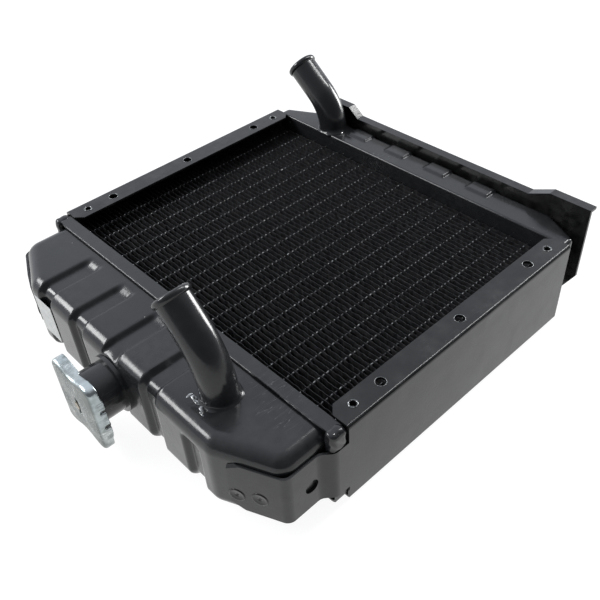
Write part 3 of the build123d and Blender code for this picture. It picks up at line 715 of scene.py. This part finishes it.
def fin_tree(finish):
    """Thin plates in a row, each crinkled along its length."""
    tree = node_tree("fin_stack", ("count", "pitch", "first", "thick", "width", "low", "high", "crinkle"))
    w = Weave(tree)
    sizes = w.inputs
    row = w.add("GeometryNodeMeshLine", Count=w.add(
        "FunctionNodeFloatToInt", Float=sizes["count"])[0],
        Start_Location=w.vector(sizes["first"]), Offset=w.vector(sizes["pitch"]))[0]
    height = w.maths("SUBTRACT", sizes["high"], sizes["low"])
    middle = w.maths("MULTIPLY", w.maths("ADD", sizes["high"], sizes["low"]), 0.5)
    plate = w.add("GeometryNodeMeshCube", Size=w.vector(sizes["thick"], sizes["width"], height),
                  Vertices_X=2, Vertices_Y=240, Vertices_Z=2)[0]
    lifted = w.add("GeometryNodeTransform", Geometry=plate, Translation=w.vector(z=middle))[0]
    placed = w.add("GeometryNodeInstanceOnPoints", Points=row, Instance=lifted)[0]
    real = w.add("GeometryNodeRealizeInstances", Geometry=placed)[0]
    where = w.add("GeometryNodeInputPosition")[0]
    split = w.add("ShaderNodeSeparateXYZ", Vector=where)
    plate_number = w.maths("ROUND", w.maths("DIVIDE", w.maths(
        "SUBTRACT", split["X"], sizes["first"]), sizes["pitch"]))
    side = w.maths("SIGN", w.maths("SUBTRACT", split["Z"], middle))
    spot = w.vector(w.maths("MULTIPLY", plate_number, 7.3), w.maths("MULTIPLY", split["Y"], 210.0),
                    w.maths("MULTIPLY", side, 5.0))
    wave = w.add("ShaderNodeTexNoise", Vector=spot, Scale=1.0, Detail=1.0)[0]
    push = w.maths("MULTIPLY", w.maths("SUBTRACT", wave, 0.5), sizes["crinkle"])
    moved = w.add("GeometryNodeSetPosition", Geometry=real, Offset=w.vector(push))[0]
    w.finish(moved, finish)
    return tree


def collar_tree(finish):
    """A worn bead wherever a fin crosses a tube's edge."""
    tree = node_tree("tube_collars", ("columns", "tube pitch", "count", "pitch", "first", "height", "size"))
    w = Weave(tree)
    sizes = w.inputs
    columns = w.add("FunctionNodeFloatToInt", Float=sizes["columns"])[0]
    count = w.add("FunctionNodeFloatToInt", Float=sizes["count"])[0]
    half = w.maths("MULTIPLY", w.maths("SUBTRACT", sizes["columns"], 1.0), w.maths(
        "MULTIPLY", sizes["tube pitch"], -0.5))
    across = w.add("GeometryNodeMeshLine", Count=columns, Start_Location=w.vector(
        sizes["first"], half, sizes["height"]), Offset=w.vector(y=sizes["tube pitch"]))[0]
    along = w.add("GeometryNodeMeshLine", Count=count, Start_Location=w.vector(),
                  Offset=w.vector(sizes["pitch"]))[0]
    rows = w.add("GeometryNodeRealizeInstances", Geometry=w.add(
        "GeometryNodeInstanceOnPoints", Points=across, Instance=along)[0])[0]
    bead = w.add("GeometryNodeMeshUVSphere", Segments=8, Rings=5, Radius=1.0)[0]
    spread = w.add("FunctionNodeRandomValue", {"data_type": "FLOAT_VECTOR"},
                   i0=(1.2, 0.4, 0.5), i1=(3.2, 0.95, 1.0), Seed=11)[0]
    big = w.add("ShaderNodeVectorMath", {"operation": "SCALE"}, i0=spread, Scale=sizes["size"])[0]
    put = w.add("GeometryNodeInstanceOnPoints", Points=rows, Instance=bead, Scale=big)[0]
    w.finish(put, finish)
    return tree


def make_core(fin_finish, collar_finish):
    """The crinkled fins and the worn collars along the tubes' front and rear edges."""
    first = (CORE_START + FIN_FIRST) * MM
    fins = grown("crinkled_fins", fin_tree(fin_finish), {
        "count": FIN_COUNT, "pitch": FIN_PITCH * MM, "first": first, "thick": FIN_SHOWN_SHEET * MM,
        "width": 2 * CORE_HALF_Y * MM, "low": CORE_LOW * MM, "high": CORE_HIGH * MM,
        "crinkle": FIN_CRINKLE * MM,
    }, fin_finish, False)
    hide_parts("cooling_fins")
    heights = {"front_collars": TUBE_FRONT + COLLAR_PROUD, "rear_collars": TUBE_REAR - COLLAR_PROUD}
    for name, height in heights.items():
        collars = grown(name, collar_tree(collar_finish), {
            "columns": TUBE_COLUMNS, "tube pitch": TUBE_PITCH * MM, "count": FIN_COUNT,
            "pitch": FIN_PITCH * MM, "first": first, "height": height * MM, "size": COLLAR_SIZE * MM,
        }, collar_finish, True)


# ---------------------------------------------------------------- camera, floor and light

# Azimuth, tilt and roll of the camera, in degrees
CAMERA_TURN = (-40.66, 41.52, -4.04)
CAMERA_AT = (-0.26423, -0.32970, 0.38698)
LENS = 44.958
FLOOR_REACH = 6.0
FLOOR_GAP = 0.0005
FLOOR_GLOW = 0.93
# Way that the surround brightens, and its dark and bright ends: place on the ramp and colour
SURROUND_AXIS = (0.30, 0.85, 0.25)
SURROUND = [(0.30, (0.15, 0.155, 0.168)), (0.78, (1.05, 1.10, 1.20))]
# Name, place, target, size and power of each soft box
SOFT_BOXES = [
    ("overhead_box", (0.85, -0.19, 1.08), (0.03, -0.15, 0.06), (0.13, 0.80), 8),
    ("back_left_box", (-0.75, 0.9, 0.8), (0, 0, 0.03), (0.8, 0.40), 14),
    ("right_box", (1.4, -0.2, 0.30), (0, 0, 0.05), (0.45, 0.7), 20),
]


def make_camera():
    """A camera at a normal lens, above the near corner."""
    lens = bpy.data.cameras.new("camera")
    lens.sensor_width = 36.0
    lens.lens = LENS
    lens.clip_start = 0.01
    lens.clip_end = 20.0
    camera = in_scene("camera", lens)
    azimuth, tilt, roll = map(math.radians, CAMERA_TURN)
    back = Vector((math.sin(azimuth) * math.cos(tilt), -math.cos(azimuth) * math.cos(tilt), math.sin(tilt)))
    turn = (-back).to_track_quat("-Z", "Y").to_matrix() @ Matrix.Rotation(roll, 3, "Z")
    camera.matrix_world = Matrix.Translation(CAMERA_AT) @ turn.to_4x4()
    bpy.context.scene.camera = camera


def make_light(name, place, target, size, power):
    """One white soft box that faces its target."""
    data = bpy.data.lights.new(name, "AREA")
    data.shape = "RECTANGLE"
    data.size, data.size_y = size
    data.energy = power
    lamp = in_scene(name, data)
    lamp.location = place
    lamp.rotation_euler = (Vector(target) - Vector(place)).to_track_quat("-Z", "Y").to_euler()


def make_surround():
    """A pale surround that is dimmer on the camera's side."""
    world = bpy.data.worlds.new("studio")
    bpy.context.scene.world = world
    world.use_nodes = True
    tree = world.node_tree
    tree.nodes.clear()
    where = tree.nodes.new("ShaderNodeTexCoord").outputs["Generated"]
    towards = wired(tree, "ShaderNodeVectorMath", {"operation": "DOT_PRODUCT"}, {
        "i0": where, "i1": SURROUND_AXIS})["Value"]
    share = wired(tree, "ShaderNodeMapRange", None, {
        "Value": towards, "From Min": -1.0, "From Max": 1.0})["Result"]
    ramp = tree.nodes.new("ShaderNodeValToRGB")
    tree.links.new(share, ramp.inputs["Fac"])
    for element, (position, colour) in zip(ramp.color_ramp.elements, SURROUND):
        element.position = position
        element.color = (*colour, 1)
    glow = wired(tree, "ShaderNodeBackground", None, {"Color": ramp.outputs["Color"], "Strength": 1.0})
    wired(tree, "ShaderNodeOutputWorld", None, {"Surface": glow["Background"]})


def make_floor():
    """A pale floor just under the part."""
    mesh = bpy.data.meshes.new("floor")
    base = cad_low.z - FLOOR_GAP
    corners = [(x * FLOOR_REACH, y * FLOOR_REACH, base) for x, y in ((-1, -1), (1, -1), (1, 1), (-1, 1))]
    mesh.from_pydata(corners, [], [(0, 1, 2, 3)])
    floor = in_scene("floor", mesh)
    pale, _ = new_material("floor_white", Base_Color=(0.12, 0.12, 0.12, 1), Roughness=0.9,
                           Specular_IOR_Level=0.1, Emission_Color=(1, 1, 1, 1), Emission_Strength=FLOOR_GLOW)
    mesh.materials.append(pale)


def make_studio():
    """The surround, the soft boxes and the floor, shown without a film curve."""
    make_surround()
    for box in SOFT_BOXES:
        make_light(*box)
    make_floor()
    bpy.context.scene.view_settings.view_transform = "Standard"


# ---------------------------------------------------------------- finishes

class Finish:
    """A procedural material being wired up."""

    def __init__(self, name, colour, roughness, metallic=0.0, level=0.5):
        self.material, self.shader = new_material(
            name, Base_Color=(*colour, 1), Roughness=roughness, Metallic=metallic, Specular_IOR_Level=level,
        )
        self.tree = self.material.node_tree
        self.place = self.tree.nodes.new("ShaderNodeTexCoord").outputs["Object"]

    def add(self, kind, settings=None, **inputs):
        """A new shader node's outputs."""
        return wired(self.tree, "ShaderNode" + kind, settings, inputs)

    def stretch(self, scale, turn=(0, 0, 0)):
        """Object coordinates stretched and turned, for marks that run one way."""
        return self.add("Mapping", Vector=self.place, Scale=scale, Rotation=turn)["Vector"]

    def clouds(self, scale, detail=3.0, low=0.35, high=0.65, where=None):
        """Soft noise spread to the whole range from 0 to 1."""
        noise = self.add("TexNoise", Vector=where or self.place, Scale=scale, Detail=detail)["Fac"]
        return self.add("MapRange", i0=noise, i1=low, i2=high)["Result"]

    def specks(self, scale, size, share):
        """Small round specks, one in some of the cells."""
        cells = self.add("TexVoronoi", Vector=self.place, Scale=scale)
        chosen = self.add("Math", {"operation": "GREATER_THAN"}, i0=cells["Color"], i1=1.0 - share)["Value"]
        near = self.add("MapRange", i0=cells["Distance"], i1=size, i2=size * 0.5)["Result"]
        return self.times(chosen, near)

    def scratches(self, scale, thin, share):
        """Thin lines from stretched noise, shown only in patches."""
        line = self.add("TexNoise", Vector=self.stretch(scale, (0.3, 0.2, 0.5)), Scale=1.0, Detail=1.0)["Fac"]
        from_middle = self.add("Math", {"operation": "SUBTRACT"}, i0=line, i1=0.5)["Value"]
        off = self.add("Math", {"operation": "ABSOLUTE"}, i0=from_middle)["Value"]
        mark = self.add("MapRange", i0=off, i1=thin, i2=0.0)["Result"]
        patch = self.clouds(16.0, 2.0, 0.62 - share, 0.72 - share)
        return self.times(mark, patch)

    def times(self, a, b):
        """Product of two values."""
        return self.add("Math", {"operation": "MULTIPLY"}, i0=a, i1=b)["Value"]

    def blend(self, share, low, high):
        """One colour turning into another; either may be a node's output."""
        made = self.tree.nodes.new("ShaderNodeMix")
        made.data_type = "RGBA"
        self.tree.links.new(share, made.inputs["Factor"])
        for socket, value in ((made.inputs[6], low), (made.inputs[7], high)):
            if isinstance(value, bpy.types.NodeSocket):
                self.tree.links.new(value, socket)
            else:
                socket.default_value = (*value, 1)
        return made.outputs[2]

    def bump(self, height, strength, distance, normal=None):
        """Small relief from a height."""
        inputs = {"Height": height, "Strength": strength, "Distance": distance}
        if normal is not None:
            inputs["Normal"] = normal
        return self.add("Bump", **inputs)["Normal"]

    def set(self, **sockets):
        """Wire outputs to the shader and return the material."""
        for key, value in sockets.items():
            self.tree.links.new(value, self.shader.inputs[key.replace("_", " ")])
        return self.material


def black_enamel(name, dark, dust, rough, speck_share, level, grime=None):
    """Sprayed black enamel: orange peel, faint dust, specks, hairline scratches and, on sheet, grime."""
    f = Finish(name, dark, rough[0], level=level)
    haze = f.clouds(14.0, 4.0)
    fine = f.clouds(170.0, 3.0, 0.3, 0.7)
    spots = f.specks(330.0, 0.16, speck_share)
    scuffs = f.scratches((40.0, 420.0, 300.0), 0.010, 0.008)
    colour = f.blend(f.times(haze, fine), dark, dust)
    if grime:
        streaks = f.clouds(1.0, 5.0, 0.45, 0.72, f.stretch((34.0, 34.0, 9.0)))
        colour = f.blend(f.times(streaks, fine), colour, grime)
    colour = f.blend(spots, colour, (0.26, 0.26, 0.25))
    colour = f.blend(scuffs, colour, (0.12, 0.12, 0.12))
    spread = f.add("MapRange", i0=f.clouds(60.0, 4.0), i3=rough[0], i4=rough[1])["Result"]
    peel = f.bump(f.add("TexNoise", Vector=f.place, Scale=420.0, Detail=2.0)["Fac"], 0.12, 0.0004)
    waves = f.bump(f.add("TexNoise", Vector=f.place, Scale=38.0, Detail=1.0)["Fac"], 0.10, 0.002, peel)
    return f.set(Base_Color=colour, Roughness=spread, Normal=waves)


def fin_black(name):
    """Thin dull paint over the core sheet, worn lighter in places."""
    f = Finish(name, (0.010, 0.010, 0.011), 0.5)
    worn = f.clouds(300.0, 4.0, 0.4, 0.75)
    colour = f.blend(worn, (0.010, 0.010, 0.011), (0.023, 0.023, 0.024))
    rough = f.add("MapRange", i0=worn, i3=0.42, i4=0.65)["Result"]
    return f.set(Base_Color=colour, Roughness=rough,
                 Normal=f.bump(f.add("TexNoise", Vector=f.place, Scale=900.0)["Fac"], 0.2, 0.0003))


def zinc(name):
    """Bright zinc plating with cloudy grain and faint handling marks, and painted shade that darkens the face
    plate against the lit skirt.
    """
    f = Finish(name, (0.66, 0.72, 0.71), 0.34, metallic=1.0)
    cloud = f.clouds(70.0, 5.0)
    # Painted light: bright is the skirt's lit tone and dull the face plate's painted-shade tone, picked by
    # depth from the face below
    bright = f.blend(f.clouds(25.0, 2.0), (0.40, 0.45, 0.46), (0.52, 0.54, 0.53))
    dull = f.blend(f.clouds(60.0, 4.0), (0.11, 0.125, 0.12), (0.22, 0.24, 0.235))
    depth = f.add("SeparateXYZ", Vector=f.place)["X"]
    face_painted_shade = f.add("MapRange", i0=depth, i1=FACE_X + 0.0016, i2=FACE_X + 0.0004)["Result"]
    lit_skirt_shaded_face = f.blend(face_painted_shade, bright, dull)
    colour = f.blend(f.times(cloud, f.clouds(240.0)), lit_skirt_shaded_face, (0.14, 0.16, 0.155))
    rough = f.add("MapRange", i0=cloud, i3=0.28, i4=0.48)["Result"]
    marks = f.scratches((60.0, 500.0, 260.0), 0.012, 0.05)
    relief = f.bump(f.add("TexNoise", Vector=f.place, Scale=260.0, Detail=3.0)["Fac"], 0.16, 0.0006)
    return f.set(Base_Color=f.blend(marks, colour, (0.85, 0.87, 0.86)), Roughness=rough, Normal=relief)


def plain_metal(name, light, dark, rough, grain=220.0):
    """Bare metal with uneven tarnish."""
    f = Finish(name, light, rough, metallic=1.0)
    stain = f.clouds(grain, 4.0)
    colour = f.blend(stain, light, dark)
    spread = f.add("MapRange", i0=stain, i3=rough, i4=min(1.0, rough + 0.2))["Result"]
    return f.set(Base_Color=colour, Roughness=spread,
                 Normal=f.bump(f.add("TexNoise", Vector=f.place, Scale=700.0)["Fac"], 0.15, 0.0003))


def soft_matter(name, light, dark, rough, grain=400.0):
    """Rubber, fibre or paper: no metal, fine grain."""
    f = Finish(name, light, rough)
    mottle = f.clouds(grain, 5.0)
    spread = f.add("MapRange", i0=f.clouds(grain / 3), i3=rough, i4=min(1.0, rough + 0.15))["Result"]
    return f.set(Base_Color=f.blend(mottle, light, dark), Roughness=spread,
                 Normal=f.bump(mottle, 0.2, 0.0003))


paint = black_enamel(
    "black_enamel", (0.012, 0.0125, 0.0135), (0.020, 0.0205, 0.021), (0.13, 0.24), 0.08, 0.42,
)
paint_rail = black_enamel(
    "black_enamel_sheet", (0.003, 0.003, 0.003), (0.012, 0.012, 0.012), (0.14, 0.26), 0.07, 0.40,
    grime=(0.026, 0.026, 0.025),
)
paint_core = fin_black("core_black")
cap_zinc = zinc("cap_zinc")
rivet_steel = plain_metal("rivet_steel", (0.55, 0.50, 0.42), (0.30, 0.27, 0.22), 0.35)
spring_steel = plain_metal("spring_steel", (0.50, 0.50, 0.50), (0.32, 0.31, 0.30), 0.30)
valve_brass = plain_metal("valve_brass", (0.72, 0.52, 0.24), (0.48, 0.32, 0.14), 0.32)
rubber = soft_matter("seal_rubber", (0.02, 0.02, 0.02), (0.035, 0.035, 0.035), 0.6)
fibre = soft_matter("red_fibre", (0.28, 0.05, 0.03), (0.18, 0.035, 0.02), 0.7)
paper = soft_matter("label_paper", (0.50, 0.51, 0.50), (0.42, 0.43, 0.42), 0.45, 150.0)

CAD_FINISHES = {
    "side_channel_near": paint_rail, "side_channel_far": paint_rail,
    "tube_row_front": paint_core, "tube_row_rear": paint_core, "cooling_fins": paint_core,
    "top_header": paint, "bottom_header": paint, "top_tank": paint, "bottom_tank": paint,
    "inlet_neck": paint, "outlet_neck": paint, "base_bracket": paint_rail,
    "filler_neck": paint, "neck_collar": paint, "overflow_nipple": paint,
    "cap_shell": cap_zinc, "cap_rivet": rivet_steel, "cap_spring_disc": spring_steel,
    "cap_top_gasket": rubber, "cap_bell": cap_zinc, "pressure_plate": valve_brass,
    "pressure_gasket": rubber, "pressure_spring": spring_steel, "vacuum_valve": valve_brass,
    "vacuum_spring": spring_steel, "drain_boss": paint, "drain_washer": fibre,
    "drain_plug": valve_brass, "blank_label": paper,
}
for node, finish in CAD_FINISHES.items():
    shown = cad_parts[node]
    shown.data.materials.clear()
    shown.data.materials.append(finish)

# ---------------------------------------------------------------- the radiator's pieces

core_collar = plain_metal("worn_collar", (0.70, 0.71, 0.72), (0.22, 0.22, 0.22), 0.32, 900.0)
# Painted highlight: a grey finish that stands in for the soft highlight along the rail's rounded upper lip
rail_lip_painted_highlight = soft_matter("rail_lip_painted_highlight", (0.13, 0.135, 0.13), (0.04, 0.04, 0.04), 0.38, 260.0)
worn_rim = plain_metal("worn_rim", (0.30, 0.31, 0.31), (0.03, 0.03, 0.03), 0.30, 1300.0)
solder = plain_metal("solder", (0.55, 0.56, 0.56), (0.03, 0.03, 0.03), 0.18, 420.0)
make_core(paint_core, core_collar)
make_top_tank(paint)
make_bottom_tank(paint)
make_hose_neck("inlet_neck_tube", "inlet_neck", INLET, INLET_BEND, paint)
make_hose_neck("outlet_neck_tube", "outlet_neck", OUTLET, OUTLET_BEND, paint)
make_solder("inlet_solder", [
    ((-45.0, -66.2, 63.3), (2.4, 1.3, 0.5)), ((-44.3, -69.4, 63.3), (1.6, 2.6, 0.6)),
    ((-45.2, -73.4, 63.3), (1.2, 3.0, 0.5)), ((-46.0, -79.0, 63.2), (2.6, 2.2, 0.7)),
    ((-43.6, -83.0, 63.3), (2.0, 1.3, 0.5)), ((-48.4, -82.2, 63.2), (1.2, 2.2, 0.4)),
], solder)
make_solder("outlet_solder", [
    ((227.6, 77.0, 65.0), (2.2, 0.9, 0.8)), ((223.0, 97.5, 65.0), (1.2, 1.6, 0.8)),
], solder)
make_seam("header_edge_top", [(-9.5, -140.0, 64.8), (-9.5, 140.0, 64.8)], 0.8, paint)
# The rail's edge beads carry the painted-highlight finish
for name, x in (("rail_edge_inner", 244.5), ("rail_edge_outer", 250.1)):
    make_seam(name, [(x, y, z) for y, z in RAIL_TOP], 0.80, rail_lip_painted_highlight)
for name, side in (("near_corner_fill", -1), ("far_corner_fill", 1)):
    ends = sorted((side * 144.6, side * 148.5))
    make_corner_fill(name, (215.0, ends[0], 4.0), (222.0, ends[1], 62.0), paint_core)
for name, side in (("near_header_end", -1), ("far_header_end", 1)):
    ends = sorted((side * 141.0, side * 149.7))
    make_corner_fill(name, (-12.4, ends[0], 44.0), (0.5, ends[1], 66.5), paint, 3.8)
for name, rows, height, radius, width in (
    ("tapped_hole_rims", TAPPED_ROWS, 66.9, 2.75, 0.48),
    ("bolt_hole_rims", BOLT_ROWS, 66.95, 3.55, 0.24),
):
    places = [((x, side * FLANGE_HOLE_Y, height), (0, 0, 1)) for x in rows for side in (-1, 1)]
    make_turned(name, ring_profile(radius, width), places, worn_rim)
make_turned("strap_dents", STRAP_DENT, [
    ((x, side * y, z), (STRAP_FACING[0], side * STRAP_FACING[1], 0))
    for x, y, z in STRAP_DENTS_AT for side in (-1, 1)
], paint_rail)
make_cap(cap_zinc)
make_spring("pressure_coil", "pressure_spring", "cap_carrier",
            finish=spring_steel)
make_spring("vacuum_coil", "vacuum_spring", "pressure_valve",
            finish=spring_steel)
make_camera()
make_studio()
